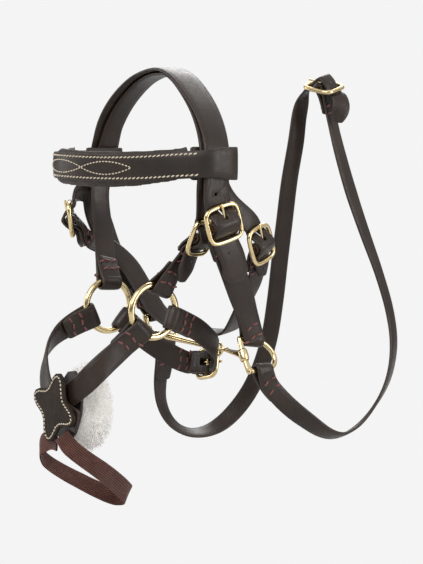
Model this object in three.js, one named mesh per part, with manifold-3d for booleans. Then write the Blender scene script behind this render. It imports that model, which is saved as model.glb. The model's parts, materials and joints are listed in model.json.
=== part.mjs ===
// A small leather bridle for a toy horse: a crossed noseband with a fleece pad, a padded browband,
// a jointed dee-ring bit and a buckled rein. Millimetres, +Z up. The horse faces -Y, so its near
// (left) side is +X. The origin is under the crown strap, on the mid-line, where it rests on the poll.
import * as THREE from "three";
import { mergeVertices } from "three/addons/utils/BufferGeometryUtils.js";
import Module from "manifold-3d";

const wasm = await Module();
wasm.setup();

// ---------------------------------------------------------------- driving dimensions
const CROWN = { width: 16, thickness: 1.8 };
const CHEEK = { width: 14, thickness: 1.6 };
const THROAT = { width: 11, thickness: 1.6 };
const NOSE = { width: 11.5, thickness: 1.6 };
const NOSE_BAND = { width: 11, thickness: 1.6 };
const REIN = { width: 9.5, thickness: 1.6 };
const ELASTIC = { width: 9.4, thickness: 1.2 };
const BROWBAND = {
  stripHeight: 13, stripThickness: 1.6, padHeight: 19.5, padEndHeight: 16.5, padThickness: 3.6,
};
const O_RING = { radius: 12.8, wire: 1.6, x: 21, y: -22.5, z: -114 };
const DEE = { wire: 1.25, bar: 19.6, cheekAt: 7.9, cheekUp: 7.6, reinAt: 8.7, reinDown: 8.62 };
const BIT = { sleeve: 6.4, wall: 0.9, clearance: 0.3, thin: 1.15, thick: 1.8, eye: 3, eyeWire: 0.9 };
const BIT_JOINT = { x: -2, y: 33.5, z: -138 }; // where the two rings of the bit are linked
const BUCKLE = { wire: 1.2, bar: 0.9, tongue: 0.65, height: 19.5, wide: 21, narrow: 17.6 };
const REST = 1.65; // the headstrap's underside at the poll, in the height the stations are written in
const STEP = 4.5; // spacing of the cross-sections along a strap
const LAYER_GAP = 0.35; // space between two layers of leather that are sewn together
const FOLD = 17; // length of strap turned back round a ring and sewn down

// ---------------------------------------------------------------- materials
const leather = new THREE.MeshStandardMaterial({ color: 0x2c2522, roughness: 0.5, metalness: 0 });
const lining = new THREE.MeshStandardMaterial({ color: 0x241e1c, roughness: 0.7, metalness: 0 });
const brass = new THREE.MeshStandardMaterial({ color: 0xd9bd78, roughness: 0.2, metalness: 1 });
const webbing = new THREE.MeshStandardMaterial({ color: 0x4a2a26, roughness: 0.9, metalness: 0 });
const fleece = new THREE.MeshStandardMaterial({ color: 0xe9e7e4, roughness: 1, metalness: 0 });

// ---------------------------------------------------------------- vectors and booleans
const vec = (x, y, z) => new THREE.Vector3(x, y, z);
const unit = (x, y, z) => vec(x, y, z).normalize();
const along = (origin, ...steps) =>
  steps.reduce((sum, [direction, distance]) => sum.addScaledVector(direction, distance), origin.clone());

function solid(geometry) {
  const bare = new THREE.BufferGeometry();
  const source = geometry.index ? geometry.toNonIndexed() : geometry;
  bare.setAttribute("position", source.getAttribute("position"));
  const merged = mergeVertices(bare, 1e-4);
  return new wasm.Manifold(
    new wasm.Mesh({
      numProp: 3,
      vertProperties: merged.attributes.position.array,
      triVerts: new Uint32Array(merged.index.array),
    }),
  );
}

function geometryOf(body) {
  const mesh = body.getMesh();
  const geometry = new THREE.BufferGeometry();
  geometry.setAttribute("position", new THREE.BufferAttribute(new Float32Array(mesh.vertProperties), 3));
  geometry.setIndex(new THREE.BufferAttribute(new Uint32Array(mesh.triVerts), 1));
  return geometry;
}

const join = (...parts) => geometryOf(parts.map(solid).reduce((sum, part) => sum.add(part)));
const cut = (geometry, tools) =>
  geometryOf(tools.map(solid).reduce((left, tool) => left.subtract(tool), solid(geometry)));

// A matrix that carries local x, y, z to the given axes at a point.
function frameMatrix(origin, xAxis, yAxis, zAxis) {
  return new THREE.Matrix4().makeBasis(xAxis, yAxis, zAxis).setPosition(origin);
}

// ---------------------------------------------------------------- sweeping
// Sweeps a convex section along stations { p, n, size }. n is the outward normal, and the section's
// points are [across, outward], each multiplied by the station's size.
function sweep(stations, section, closed = false) {
  const count = stations.length;
  const corners = section.length;
  const positions = [];
  stations.forEach((station, i) => {
    const before = stations[closed ? (i + count - 1) % count : Math.max(i - 1, 0)].p;
    const after = stations[closed ? (i + 1) % count : Math.min(i + 1, count - 1)].p;
    const tangent = after.clone().sub(before).normalize();
    const normal = station.n.clone().addScaledVector(tangent, -station.n.dot(tangent)).normalize();
    const across = normal.clone().cross(tangent);
    const [wide, thick] = station.size ?? [1, 1];
    for (const [a, o] of section) {
      positions.push(...along(station.p, [across, a * wide], [normal, o * thick]).toArray());
    }
  });
  const faces = [];
  const rows = closed ? count : count - 1;
  for (let i = 0; i < rows; i++) {
    for (let k = 0; k < corners; k++) {
      const here = i * corners;
      const next = ((i + 1) % count) * corners;
      const other = (k + 1) % corners;
      faces.push(here + k, here + other, next + other, here + k, next + other, next + k);
    }
  }
  if (!closed) {
    const last = (count - 1) * corners;
    for (let k = 1; k < corners - 1; k++) {
      faces.push(0, k + 1, k, last, last + k, last + k + 1);
    }
  }
  return outwards(positions, faces);
}

// Builds the geometry, and turns its faces round if they point inwards.
function outwards(positions, faces) {
  let volume = 0;
  const corner = (i) => vec(...positions.slice(3 * i, 3 * i + 3));
  for (let i = 0; i < faces.length; i += 3) {
    volume += corner(faces[i]).dot(corner(faces[i + 1]).cross(corner(faces[i + 2])));
  }
  if (volume < 0) faces.reverse();
  const geometry = new THREE.BufferGeometry();
  geometry.setAttribute("position", new THREE.Float32BufferAttribute(positions, 3));
  geometry.setIndex(faces);
  return geometry;
}

const RECTANGLE = [[-0.5, -0.5], [0.5, -0.5], [0.5, 0.5], [-0.5, 0.5]];

function round(radius, sides = 7) {
  return Array.from({ length: sides }, (_, i) => {
    const angle = (2 * Math.PI * i) / sides;
    return [radius * Math.cos(angle), radius * Math.sin(angle)];
  });
}

// A closed loop in the local xy plane with sides (x, y) = half sizes and squareness as exponent.
function roundedLoop(halfX, halfY, squareness, count) {
  return Array.from({ length: count }, (_, i) => {
    const angle = (2 * Math.PI * (i + 0.5)) / count;
    const [c, s] = [Math.cos(angle), Math.sin(angle)];
    const bulge = (value) => Math.sign(value) * Math.abs(value) ** (2 / squareness);
    return { p: vec(halfX * bulge(c), halfY * bulge(s), 0), n: vec(c / halfX, s / halfY, 0).normalize() };
  });
}

// Smooth centre line through stations [x, y, z, normal x, normal y, normal z].
function centreLine(stations, closed = false) {
  const points = stations.map(([x, y, z]) => vec(x, y, z));
  const normals = stations.map(([, , , x, y, z]) => unit(x, y, z));
  const curve = new THREE.CatmullRomCurve3(points, closed, "centripetal");
  const segments = closed ? points.length : points.length - 1;
  const line = [];
  for (let i = 0; i < segments; i++) {
    const next = (i + 1) % points.length;
    const steps = Math.max(1, Math.round(points[i].distanceTo(points[next]) / STEP));
    for (let k = 0; k < steps; k++) {
      const share = k / steps;
      const n = normals[i].clone().lerp(normals[next], share);
      line.push({ p: curve.getPoint((i + share) / segments), n });
    }
  }
  if (!closed) line.push({ p: points[segments], n: normals[segments] });
  return line;
}

// Turns the end of a centre line round a wire and back behind itself.
// wire is the wire's centre, pull the direction from the strap to the wire, out the outward normal, and
// wrap the length of strap that already lies round the wire.
function turnBack(line, { wire, pull, out, eye, length = FOLD, stretch = 0, wrap = 0 }, thickness) {
  const radius = eye + thickness / 2;
  const turn = [];
  const halfTurnSteps = 5;
  for (let i = 0; i <= halfTurnSteps; i++) {
    const angle = (Math.PI * i) / halfTurnSteps;
    turn.push({
      p: along(wire, [pull, stretch + radius * Math.sin(angle)], [out, radius * Math.cos(angle)]),
      n: along(vec(0, 0, 0), [out, Math.cos(angle)], [pull, Math.sin(angle)]),
    });
  }
  const back = [];
  const closing = 2 * radius + 4;
  let travelled = 0;
  for (let i = line.length - 2; i >= 0 && travelled < length; i--) {
    const here = line[i];
    travelled += here.p.distanceTo(line[i + 1].p);
    if (travelled < wrap) continue;
    const tangent = line[Math.max(i - 1, 0)].p.clone().sub(line[i + 1].p).normalize();
    const normal = here.n.clone().addScaledVector(tangent, -here.n.dot(tangent)).normalize();
    const share = Math.min(1, travelled / closing);
    const open = 2 * radius * (1 - share) + (thickness + LAYER_GAP) * share;
    back.push({ p: along(here.p, [normal, -open]), n: normal.negate() });
  }
  return [...turn, ...back];
}

// Rounds off the last millimetres of a strap's end.
function roundTip(line, length) {
  let left = 0;
  for (let i = line.length - 1; i > 0 && left < length; i--) {
    const share = Math.max(0, 1 - left / length);
    line[i].taper = Math.max(0.4, Math.sqrt(1 - share * share));
    left += line[i].p.distanceTo(line[i - 1].p);
  }
}

const foldPoint = ({ wire, out, eye }, thickness) => [
  ...along(wire, [out, eye + thickness / 2]).toArray(),
  ...out.toArray(),
];

// A strap: stations in order, with an optional fold at either end, a rounded tip and cutting tools. Each
// fold is a function of the strap's nearest station.
function strap({ width, thickness }, stations, options = {}) {
  const { start: startOf, end: endOf, tip = 0, widths, tools = [] } = options;
  const start = startOf?.(stations[0]);
  const end = endOf?.(stations[stations.length - 1]);
  const all = [
    ...(start ? [foldPoint(start, thickness)] : []),
    ...stations,
    ...(end ? [foldPoint(end, thickness)] : []),
  ];
  let line = centreLine(all);
  if (widths) line.forEach((s, i) => (s.taper = widths(i / (line.length - 1))));
  if (tip) roundTip(line, tip);
  const tail = end ? turnBack(line, end, thickness) : [];
  const head = start ? turnBack([...line].reverse(), start, thickness).reverse() : [];
  const ends = (fold, reference) => fold.map((s) => ({ ...s, taper: reference.taper }));
  line = [...ends(head, line[0]), ...line, ...ends(tail, line[line.length - 1])];
  line.forEach((s) => (s.size = [width * (s.taper ?? 1), thickness]));
  const clean = line.filter((s, i) => i === 0 || s.p.distanceTo(line[i - 1].p) > 0.05);
  const geometry = sweep(clean, RECTANGLE);
  return tools.length ? cut(geometry, tools) : geometry;
}

// ---------------------------------------------------------------- buckles
// A centre-bar buckle. pull points from the strap sewn on its bar to where the billet comes from,
// and out is its outward face. Local axes: x across, y along pull, z out.
function buckleAt(centre, pull, out, width) {
  const y = pull.clone().normalize();
  const z = out.clone().addScaledVector(y, -out.dot(y)).normalize();
  const x = y.clone().cross(z);
  const h = BUCKLE.height / 2 - BUCKLE.wire;
  const station = (ly, lz) => [...along(centre, [y, ly], [z, lz]).toArray(), ...z.toArray()];
  const box = (sx, y0, y1, z0, z1) =>
    new THREE.BoxGeometry(sx, y1 - y0, z1 - z0)
      .translate(0, (y0 + y1) / 2, (z0 + z1) / 2)
      .applyMatrix4(frameMatrix(centre, x, y, z));
  const behind = BUCKLE.wire + 1.3; // billet centre line behind the frame's sides
  const over = (rise) => [0.42, 0, -0.42].map((share) => station(share * h, share ? rise * 0.52 : rise));
  return {
    centre, x, y, z, width, h,
    billet: (rise = 4.6) => [
      station(h + 1.4, -behind), station(h - 1.6, -behind), ...over(rise),
      station(1.6 - h, -behind), station(-h - 1.4, -behind),
    ],
    chape: [
      station(-h - 1.4, -behind - 2.4), station(1.6 - h, -behind - 2.5), station(-3.7, -1.9),
      [
        ...along(centre, [y, -1.75], [z, 1.5]).toArray(),
        ...along(vec(0, 0, 0), [y, -0.7], [z, 0.7]).toArray(),
      ],
    ],
    fold: (length = FOLD) => ({ wire: centre, pull: y, out: z, eye: BUCKLE.bar + 0.35, length, wrap: 3.5 }),
    billetSlots: [box(2, 2.6, 7.6, -5, 7), box(2, 1.2, 2.8, -1, 3.5)],
    chapeSlot: box(3.4, -3.4, 6, -4, 3.6),
  };
}

function buckleFrame({ width, h }) {
  const wire = sweep(roundedLoop(width / 2 - BUCKLE.wire, h, 4.4, 20), round(BUCKLE.wire), true);
  const bar = new THREE.CylinderGeometry(BUCKLE.bar, BUCKLE.bar, width - 2 * BUCKLE.wire, 8);
  return join(wire, bar.rotateZ(Math.PI / 2));
}

function buckleTongue({ h }) {
  const clearance = 0.2;
  const eye = new THREE.TorusGeometry(BUCKLE.bar + clearance + BUCKLE.tongue, BUCKLE.tongue, 6, 10);
  const top = BUCKLE.wire + BUCKLE.tongue + 0.25;
  const pin = [[1.2, 1.35], [h * 0.5, 1.75], [h, top], [h + 1.6, top]].map(([y, z]) => ({
    p: vec(0, y, z),
    n: vec(1, 0, 0),
  }));
  return join(eye.rotateY(Math.PI / 2), sweep(pin, round(BUCKLE.tongue, 6)));
}

// ---------------------------------------------------------------- the places of things
const group = new THREE.Group();

function add(name, geometry, material, matrix) {
  const mesh = new THREE.Mesh(geometry, material);
  mesh.name = name;
  if (matrix) matrix.decompose(mesh.position, mesh.quaternion, mesh.scale);
  group.add(mesh);
}

function addBuckle(name, buckle) {
  const matrix = frameMatrix(buckle.centre, buckle.x, buckle.y, buckle.z);
  add(`${name}_buckle_frame`, buckleFrame(buckle), brass, matrix);
  add(`${name}_buckle_tongue`, buckleTongue(buckle), brass, matrix);
}

const cheekBuckle = buckleAt(vec(56, -5.3, -70.7), unit(0.03, -0.29, 0.96), unit(1, -0.05, 0), BUCKLE.wide);
const throatNearBuckle = buckleAt(
  vec(54, 18.2, -81.2), unit(0.1, -0.36, 0.93), unit(0.98, 0.2, 0), BUCKLE.narrow,
);
const throatFarBuckle = buckleAt(
  vec(-57.5, -22.4, -71), unit(0.05, -0.16, 0.98), unit(-0.57, -0.82, 0), BUCKLE.narrow,
);
const noseBuckle = buckleAt(
  vec(40, -7.5, -78), unit(0.35, 0.15, 0.92), unit(0.9, 0.25, -0.39), BUCKLE.narrow,
);
const jawBuckle = buckleAt(vec(-2, 25.5, -144.5), unit(0.97, 0, 0.2), unit(0.05, 1, -0.25), BUCKLE.narrow);
const reinBuckle = buckleAt(
  vec(0, 99.6, -1.8), unit(-0.93, -0.29, 0.22), unit(0.28, -0.2, 0.94), BUCKLE.narrow,
);

// A strap's fold round a wire. from is the strap's next station and side the outward side of the strap.
function foldRound(wire, wireAxis, from, side, eye, extra = {}) {
  const reach = wire.clone().sub(vec(...from.slice(0, 3)));
  const pull = reach.addScaledVector(wireAxis, -reach.dot(wireAxis)).normalize();
  const out = pull.clone().cross(wireAxis);
  return { wire, pull, out: out.multiplyScalar(Math.sign(out.dot(side))), eye, ...extra };
}

// A fold round an O-ring's wire: side is +1 near and -1 far, and degrees turn from the rear upwards.
function ringFold(side, degrees, from, length) {
  const angle = THREE.MathUtils.degToRad(degrees);
  const bow = 1.2; // how far the ring's curve falls away across the strap's width
  const radial = vec(0, Math.cos(angle), Math.sin(angle));
  const wire = along(vec(side * O_RING.x, O_RING.y, O_RING.z), [radial, O_RING.radius - bow / 2]);
  const tangent = vec(0, -Math.sin(angle), Math.cos(angle));
  const fold = foldRound(wire, tangent, from, vec(side, 0, 0), O_RING.wire + 0.65, { length });
  fold.stretch = (bow / 2) * Math.abs(fold.pull.dot(radial));
  fold.eye += (bow / 2) * Math.abs(fold.pull.x);
  return fold;
}

// Dee rings hang from the cheekpieces: bar at the front, round side at the rear. The near one's lower
// end stands out from the cheek, and the far one hangs in line with its strap.
const deeNear = { bar: vec(43, 15.7, -136), side: 1, down: unit(0.45, 0, -0.893), rear: unit(0, 1, 0) };
const deeFar = {
  bar: vec(-38.5, 13, -131), side: -1, down: unit(0, 0.29, -0.957), rear: unit(0, 0.957, 0.29),
};

// Folds on a dee: the cheekpiece's round its top wire, the rein's round its lower one.
function deeFold({ bar, side, down, rear }, from) {
  const wire = along(bar, [down, -DEE.cheekUp], [rear, DEE.cheekAt]);
  const run = along(vec(0, 0, 0), [rear, 0.99], [down, 0.14]);
  return foldRound(wire, run, from, vec(side, 0, 0), DEE.wire + 0.5, { stretch: 0.3 });
}

function reinFold({ bar, side, down, rear }, from) {
  const wire = along(bar, [down, DEE.reinDown], [rear, DEE.reinAt]);
  return foldRound(wire, rear, from, vec(side, 0, 0), DEE.wire + 0.6, { stretch: 0.4 });
}

// A strap that narrows from one relative width to another between two shares of its length.
const narrowing = (from, to, start, finish) => (share) =>
  THREE.MathUtils.lerp(from, to, THREE.MathUtils.smoothstep(share, start, finish));

function billetHole(x, y, z, nx, ny, nz) {
  const hole = new THREE.CylinderGeometry(0.75, 0.75, 5, 8);
  const turn = new THREE.Quaternion().setFromUnitVectors(vec(0, 1, 0), unit(nx, ny, nz));
  return hole.applyQuaternion(turn).translate(x, y, z);
}

// ---------------------------------------------------------------- headpiece and cheeks
function crownStrap() {
  const main = strap(
    CROWN,
    [
      [-47, 9.5, -107, -0.93, -0.1, -0.35],
      [-54.5, 3, -92, -0.95, -0.15, -0.28],
      [-59, -2, -77.5, -1, 0, -0.1],
      [-57.8, -7, -65.5, -1, 0, 0],
      [-55.6, -8, -54, -1, 0, 0],
      [-54.4, -6, -43, -1, 0, 0.05],
      [-52.8, -4.4, -33, -0.98, 0, 0.15],
      [-48.2, -4, -21.5, -0.86, 0, 0.5],
      [-38.5, -3, -10, -0.65, 0, 0.76],
      [-22.4, -1, 0.6, -0.42, 0, 0.9],
      [-7, 0, 4.5, 0, 0, 1],
      [3, 0, 4.5, 0, 0, 1],
      [13.4, -0.3, 0.8, 0.45, 0, 0.9],
      [24.4, -1.2, -6.2, 0.57, 0, 0.82],
      [36.9, -2.8, -16, 0.68, 0, 0.73],
      [46.3, -5, -25.4, 0.8, 0, 0.6],
      [52.4, -7.2, -34, 0.96, 0, 0.25],
      [54.3, -8.3, -43, 1, 0, 0.05],
      [54.6, -8.8, -52, 1, 0, 0],
      ...cheekBuckle.billet(),
      [53, 1.8, -87, 1, 0, -0.1],
      [51.2, 5.9, -99.5, 1, 0, -0.15],
    ],
    { start: (from) => deeFold(deeFar, from), widths: crownWidths, tip: 7, tools: cheekBuckle.billetSlots },
  );
  const near = strap(
    THROAT,
    [
      [53.9, -7.5, -40, 1, 0, 0.1],
      [53.1, -6.5, -51, 1, 0, 0],
      [52, 0, -60.5, 1, 0, 0],
      ...throatNearBuckle.billet(),
      [49.8, 22, -97, 0.95, 0.2, -0.3],
    ],
    { tip: 4, tools: throatNearBuckle.billetSlots },
  );
  const far = strap(
    THROAT,
    [
      [-54.2, -6.5, -40, -1, 0, 0.05],
      [-55.6, -10.5, -51.5, -0.95, -0.25, 0],
      ...throatFarBuckle.billet(),
      [-58.5, -15, -85, -0.85, -0.5, -0.3],
    ],
    { tip: 4, tools: throatFarBuckle.billetSlots },
  );
  return cut(join(main, near, far), [billetHole(54.4, -9.1, -56.5, 1, 0, 0)]);
}

// Narrow round the far dee ring, full width over the poll and a little narrower at the near cheek.
function crownWidths(share) {
  const far = THREE.MathUtils.smoothstep(share, 0.02, 0.3);
  const near = THREE.MathUtils.smoothstep(share, 0.62, 0.74);
  return THREE.MathUtils.lerp(0.69, 1, far) - 0.12 * near;
}

function nosebandHeadstrap() {
  return strap(
    NOSE_BAND,
    [
      [-25, -21.3, -97.3, -0.8, 0, -0.58],
      [-32, -17.5, -88, -0.82, 0.05, -0.55],
      [-42, -13, -74, -0.88, 0.1, -0.4],
      [-48.5, -10.5, -60, -0.98, 0, -0.15],
      [-51.4, -7, -43, -1, 0, 0.05],
      [-50.2, -4.4, -33.5, -0.98, 0, 0.15],
      [-46.2, -3, -22.7, -0.86, 0, 0.5],
      [-37.1, -1.5, -11.6, -0.65, 0, 0.76],
      [-21.6, 0, -1.2, -0.42, 0, 0.9],
      [-7, 0, 2.45, 0, 0, 1],
      [-3, 0, 2.45, 0, 0, 1],
      [1.5, 0, 2.45, 0, 0, 1],
      [3.5, 0, 2.45, 0, 0, 1],
      [12.2, -0.8, -1, 0.45, 0, 0.9],
      [23.2, -2.5, -7.9, 0.57, 0, 0.82],
      [35.5, -4.8, -17.6, 0.68, 0, 0.73],
      [44.4, -7.4, -26.8, 0.8, 0, 0.6],
      [50, -9.8, -34.7, 0.96, 0, 0.25],
      [51.6, -11, -43.3, 1, 0, 0.05],
      [50.9, -12, -52, 1, 0, -0.1],
      ...noseBuckle.billet(),
      [33.6, -12.4, -94, 0.85, 0.2, -0.5],
      [31.4, -13.4, -99.5, 0.85, 0.2, -0.5],
    ],
    { start: (from) => ringFold(-1, 88, from, 13), tip: 5, tools: noseBuckle.billetSlots },
  );
}

function nosebandCheekNear() {
  return strap(NOSE_BAND, [[27.5, -15.4, -95, 0.78, 0.1, -0.6], ...noseBuckle.chape], {
    start: (from) => ringFold(1, 70, from, 12),
    end: () => noseBuckle.fold(13),
    tools: [noseBuckle.chapeSlot],
  });
}

function cheekStrapNear() {
  return strap(
    CHEEK,
    [[42.9, 18.4, -116.4, 0.97, 0.1, -0.25], [49.1, 5.8, -96, 0.98, 0, -0.15], ...cheekBuckle.chape],
    {
      start: (from) => deeFold(deeNear, from),
      end: () => cheekBuckle.fold(),
      widths: narrowing(0.78, 1, 0.05, 0.4),
      tools: [cheekBuckle.chapeSlot],
    },
  );
}

function throatlash() {
  return strap(
    THROAT,
    [
      ...[...throatFarBuckle.chape].reverse(),
      [-54.8, -8.5, -83.5, -0.93, 0.1, -0.3],
      [-51, -1, -88, -0.9, 0.1, -0.4],
      [-46, 5.4, -95, -0.85, 0.1, -0.5],
      [-37, 9.5, -108, -0.8, 0.1, -0.6],
      [-26.5, 13, -120.5, -0.65, 0.15, -0.75],
      [-13, 21, -128, -0.35, 0.2, -0.9],
      [2, 28, -128.8, 0, 0.2, -0.97],
      [14, 27.5, -127, 0.35, 0.2, -0.9],
      [25, 23.5, -121.5, 0.65, 0.2, -0.7],
      [36, 21, -111, 0.8, 0.2, -0.5],
      [44, 21.2, -100.5, 0.9, 0.2, -0.4],
      ...throatNearBuckle.chape,
    ],
    {
      start: () => throatFarBuckle.fold(),
      end: () => throatNearBuckle.fold(),
      tools: [throatFarBuckle.chapeSlot, throatNearBuckle.chapeSlot],
    },
  );
}

// ---------------------------------------------------------------- browband
const browLine = [
  [54.2, -20.5, -42.4, 0.85, -0.5, 0],
  [46.5, -27, -42.9, 0.62, -0.78, 0],
  [34, -34.5, -43.8, 0.5, -0.86, 0],
  [20, -41.2, -44.2, 0.38, -0.92, 0],
  [6, -46.6, -44.1, 0.31, -0.95, 0],
  [-8, -50.3, -43.6, 0.12, -0.99, 0],
  [-22, -50.9, -43, -0.2, -0.97, 0],
  [-35, -44.5, -42.6, -0.6, -0.8, 0],
  [-46, -32, -42.2, -0.83, -0.55, 0],
  [-54, -21, -42, -0.85, -0.5, 0],
];

// The outer strip runs round both crown loops; its ends come back to the pad's ends.
function browbandStrip() {
  const near = [
    [48, -19, -42, -0.97, 0.25, 0],
    [47.2, -8, -42, -1, 0, 0],
    [49, 1.4, -42, -0.8, 0.5, 0],
    [53.4, 3.5, -42, 0.1, 1, 0],
    [57.2, 1, -42, 0.85, 0.5, 0],
    [57.9, -8, -42, 1, -0.05, 0],
    [57.6, -15, -42, 0.98, -0.15, 0],
  ];
  const far = [
    [-57.8, -15.5, -42, -0.98, -0.15, 0],
    [-58.2, -7, -42, -1, 0, 0],
    [-57.6, 3, -42, -0.85, 0.5, 0],
    [-53.6, 5.4, -42, -0.1, 1, 0],
    [-48.8, 3, -42, 0.8, 0.5, 0],
    [-47.3, -6, -42, 1, 0, 0],
    [-47.6, -19, -42, 0.97, 0.25, 0],
  ];
  const fromEnd = (share) => THREE.MathUtils.smoothstep(Math.min(share, 1 - share), 0.13, 0.2);
  const height = (share) => 1 + 0.22 * (1 - fromEnd(share));
  const strip = { width: BROWBAND.stripHeight, thickness: BROWBAND.stripThickness };
  return strap(strip, [...near, ...browLine, ...far], { widths: height });
}

function browbandPad() {
  const inwards = BROWBAND.stripThickness / 2 + LAYER_GAP + BROWBAND.padThickness / 2;
  const stations = browLine.slice(1, -1).map(([x, y, z, nx, ny, nz]) => {
    const n = unit(nx, ny, nz);
    return [...along(vec(x, y, z), [n, -inwards]).toArray(), nx, ny, nz];
  });
  const ends = BROWBAND.padEndHeight / BROWBAND.padHeight;
  const height = (share) => ends + (1 - ends) * Math.sin(Math.PI * Math.min(1, Math.max(0, share))) ** 0.7;
  const pad = { width: BROWBAND.padHeight, thickness: BROWBAND.padThickness };
  return strap(pad, stations, { widths: height });
}

// ---------------------------------------------------------------- nose piece
const patchCentre = vec(0, -65.5, -160.2);
const patchUp = unit(0.235, 0.06, 0.97);
const patchOut = unit(0, -0.998, 0.06);

function noseStrap(side) {
  const near = [
    [20.2, -38, -129.3, 1, -0.1, -0.1],
    [20, -42.5, -132.7, 0.97, -0.2, -0.1],
    [19.5, -49.2, -137.7, 0.9, -0.4, -0.1],
    [18.3, -54.9, -142.7, 0.75, -0.65, 0],
    [15, -59, -147.9, 0.5, -0.85, 0.05],
    [9, -61.7, -152.6, 0.2, -0.98, 0.06],
    [-2, -62.1, -157, 0, -1, 0.06],
    [-12, -62.1, -160, 0, -1, 0.06],
    [-19, -62.1, -161, 0, -1, 0.06],
  ];
  const far = [
    [-23, -42, -122.4, -0.95, -0.3, -0.1],
    [-23.5, -47.5, -125.2, -0.85, -0.5, 0.05],
    [-22.8, -53.5, -129.5, -0.7, -0.7, 0.1],
    [-20.8, -59, -136, -0.5, -0.85, 0.15],
    [-17.5, -62, -143.5, -0.2, -0.97, 0.08],
    [-11.5, -64, -152, 0, -1, 0.06],
    [0, -64, -160, 0, -1, 0.06],
    [10, -64, -163.6, 0, -1, 0.06],
    [18, -64, -165.4, 0, -1, 0.06],
  ];
  return strap(NOSE, side > 0 ? near : far, {
    start: (from) => ringFold(side, side > 0 ? 227 : 204, from, 14),
  });
}

// A star with four rounded points, wider than it is high.
function patchOutline(size, waist, widening) {
  const shape = new THREE.Shape();
  const count = 40;
  for (let i = 0; i < count; i++) {
    const angle = (2 * Math.PI * i) / count;
    const lobe = 0.5 + 0.5 * Math.cos(4 * angle);
    const radius = waist + (size - waist) * lobe ** 1.3;
    const point = [radius * Math.sin(angle) * widening, radius * Math.cos(angle)];
    if (i === 0) shape.moveTo(...point);
    else shape.lineTo(...point);
  }
  return shape;
}

function slab(shape, thickness) {
  return new THREE.ExtrudeGeometry(shape, { depth: thickness, bevelEnabled: false, curveSegments: 6 });
}

function ovalShape(halfWidth, halfHeight) {
  return new THREE.Shape().absellipse(0, 0, halfWidth, halfHeight, 0, 2 * Math.PI);
}

function fleecePad() {
  const pad = new THREE.SphereGeometry(1, 16, 10);
  return pad.scale(14, 21.5, 8.6);
}

function elasticLoop() {
  const stations = [
    [5.5, -65.6, -173, 0.35, -0.93, 0],
    [9, -63.2, -178.5, 0.7, -0.7, -0.2],
    [11, -56.5, -184.5, 0.8, -0.1, -0.6],
    [11, -48, -190.5, 0.75, 0.2, -0.65],
    [8, -38.5, -197, 0.7, 0.3, -0.65],
    [3, -29, -203.8, 0.65, 0.4, -0.65],
    [-2.5, -23.5, -208.6, 0.1, 0.85, -0.55],
    [-8, -26.5, -209.3, -0.6, 0.6, -0.55],
    [-11.5, -34.5, -205.8, -0.8, 0.2, -0.55],
    [-13.5, -44, -200.5, -0.8, 0.1, -0.6],
    [-14.8, -55, -194, -0.8, -0.1, -0.6],
    [-15, -63.6, -187.5, -0.78, -0.3, -0.55],
    [-13.6, -66.6, -182.3, -0.6, -0.75, -0.3],
    [-10.3, -65.9, -178.6, -0.15, -0.98, -0.1],
    [-5.5, -65.3, -176.9, 0, -1, 0.03],
    [0.3, -65.2, -176.9, 0, -1, 0.03],
  ];
  return strap(ELASTIC, stations);
}

// ---------------------------------------------------------------- jaw strap
function jawStrapNear() {
  return strap(
    NOSE,
    [
      [20.4, -2.5, -121.3, 1, 0.05, 0],
      [19.5, 3.5, -124, 0.97, 0.2, 0],
      [18, 10, -128, 0.95, 0.3, 0],
      [15.3, 17, -133, 0.9, 0.45, 0],
      [12.2, 21.6, -137.5, 0.6, 0.8, -0.1],
      ...jawBuckle.billet(),
      [-15.3, 21.8, -146.6, -0.3, 0.95, -0.2],
    ],
    { start: (from) => ringFold(1, 340, from, 13), tip: 4, tools: jawBuckle.billetSlots },
  );
}

function jawStrapFar() {
  return strap(
    NOSE,
    [
      [-20.3, -5.5, -128.5, -1, -0.05, 0],
      [-19, 1, -133.5, -0.95, 0.3, 0],
      [-17.2, 8, -138.5, -0.9, 0.4, 0],
      [-14.8, 14.5, -142.5, -0.75, 0.65, -0.1],
      ...jawBuckle.chape,
    ],
    {
      start: (from) => ringFold(-1, 319, from, 12),
      end: () => jawBuckle.fold(10),
      tools: [jawBuckle.chapeSlot],
    },
  );
}

// ---------------------------------------------------------------- rings and bit
function oRing() {
  return new THREE.TorusGeometry(O_RING.radius, O_RING.wire, 9, 40).rotateY(Math.PI / 2);
}

// The dee's wire in its own plane: rearwards, then downwards, from the bar's lower end to its upper.
const deeOutline = [
  [0, 8.4], [4, 8.5], [8, 8.6], [11.5, 8.6], [14.8, 7.8], [17.2, 5.8], [18.3, 3], [18, 0], [16.4, -3.2],
  [13.3, -6.2], [9, -7.5], [4.5, -8], [0, -8.2],
];

// The dee: a straight bar whose ends stand proud, and a round side.
function deeRing() {
  const line = deeOutline.map(([rear, down]) => ({ p: vec(rear, down, 0), n: vec(0, 0, 1) }));
  const hoop = sweep(line, round(DEE.wire));
  return join(hoop, new THREE.CylinderGeometry(DEE.wire, DEE.wire, DEE.bar, 10));
}

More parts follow.
